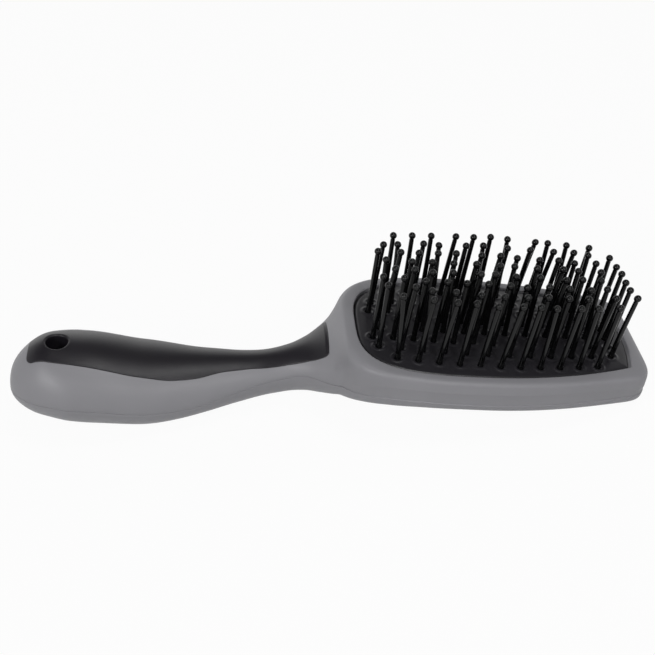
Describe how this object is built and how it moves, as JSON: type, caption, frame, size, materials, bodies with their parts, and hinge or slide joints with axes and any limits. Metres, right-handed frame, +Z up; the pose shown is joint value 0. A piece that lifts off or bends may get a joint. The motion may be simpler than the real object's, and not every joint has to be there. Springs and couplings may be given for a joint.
{
  "type": "mane and tail brush",
  "caption": "Grooming brush with a broad cushioned head of long ball-tipped pins and a thick offset handle with a soft grip and a hanging hole.",
  "frame": {"origin": "on the table under the middle of the bounding box, with the brush lying on its back on the belly of the handle and the far end of the head", "axes": "+X along the brush from the butt of the handle to the far end of the head, +Z up, the way the pins point, +Y across the brush"},
  "size_m": [0.239, 0.0688, 0.0603],
  "materials": {
    "grey_shell": "satin grey moulding",
    "soft_grip": "matt soft-touch grip",
    "pad_rubber": "satin black rubber",
    "pin_nylon": "glossy black nylon"
  },
  "bodies": {
    "shell": {"front_shell": "grey_shell", "back_shell": "grey_shell", "grip_inlay": "soft_grip"},
    "pad": {"cushion": "pad_rubber"},
    "row_1": {"pin_row_1": "pin_nylon"},
    "row_2": {"pin_row_2": "pin_nylon"},
    "row_3": {"pin_row_3": "pin_nylon"},
    "row_4": {"pin_row_4": "pin_nylon"},
    "row_5": {"pin_row_5": "pin_nylon"},
    "row_6": {"pin_row_6": "pin_nylon"},
    "row_7": {"pin_row_7": "pin_nylon"},
    "row_8": {"pin_row_8": "pin_nylon"}
  },
  "joints": [
    {"name": "cushion_press", "type": "slide", "parent": "shell", "child": "pad", "axis": [-0.161, 0, -0.987], "range_m": [0, 0.003], "stiffness_N_per_m": 900, "springref_m": -0.001},
    {"name": "row_1_rock", "type": "hinge", "parent": "pad", "child": "row_1", "pos_m": [0.06087, -0.02095, 0.02402], "axis": [0.987, 0, -0.161], "range_deg": [-3, 3], "stiffness_Nm_per_rad": 0.02},
    {"name": "row_2_rock", "type": "hinge", "parent": "pad", "child": "row_2", "pos_m": [0.06087, -0.01496, 0.02402], "axis": [0.987, 0, -0.161], "range_deg": [-3, 3], "stiffness_Nm_per_rad": 0.02},
    {"name": "row_3_rock", "type": "hinge", "parent": "pad", "child": "row_3", "pos_m": [0.06087, -0.00898, 0.02402], "axis": [0.987, 0, -0.161], "range_deg": [-3, 3], "stiffness_Nm_per_rad": 0.02},
    {"name": "row_4_rock", "type": "hinge", "parent": "pad", "child": "row_4", "pos_m": [0.06087, -0.00299, 0.02402], "axis": [0.987, 0, -0.161], "range_deg": [-3, 3], "stiffness_Nm_per_rad": 0.02},
    {"name": "row_5_rock", "type": "hinge", "parent": "pad", "child": "row_5", "pos_m": [0.06087, 0.00299, 0.02402], "axis": [0.987, 0, -0.161], "range_deg": [-3, 3], "stiffness_Nm_per_rad": 0.02},
    {"name": "row_6_rock", "type": "hinge", "parent": "pad", "child": "row_6", "pos_m": [0.06087, 0.00898, 0.02402], "axis": [0.987, 0, -0.161], "range_deg": [-3, 3], "stiffness_Nm_per_rad": 0.02},
    {"name": "row_7_rock", "type": "hinge", "parent": "pad", "child": "row_7", "pos_m": [0.06087, 0.01496, 0.02402], "axis": [0.987, 0, -0.161], "range_deg": [-3, 3], "stiffness_Nm_per_rad": 0.02},
    {"name": "row_8_rock", "type": "hinge", "parent": "pad", "child": "row_8", "pos_m": [0.06087, 0.02095, 0.02402], "axis": [0.987, 0, -0.161], "range_deg": [-3, 3], "stiffness_Nm_per_rad": 0.02}
  ]
}
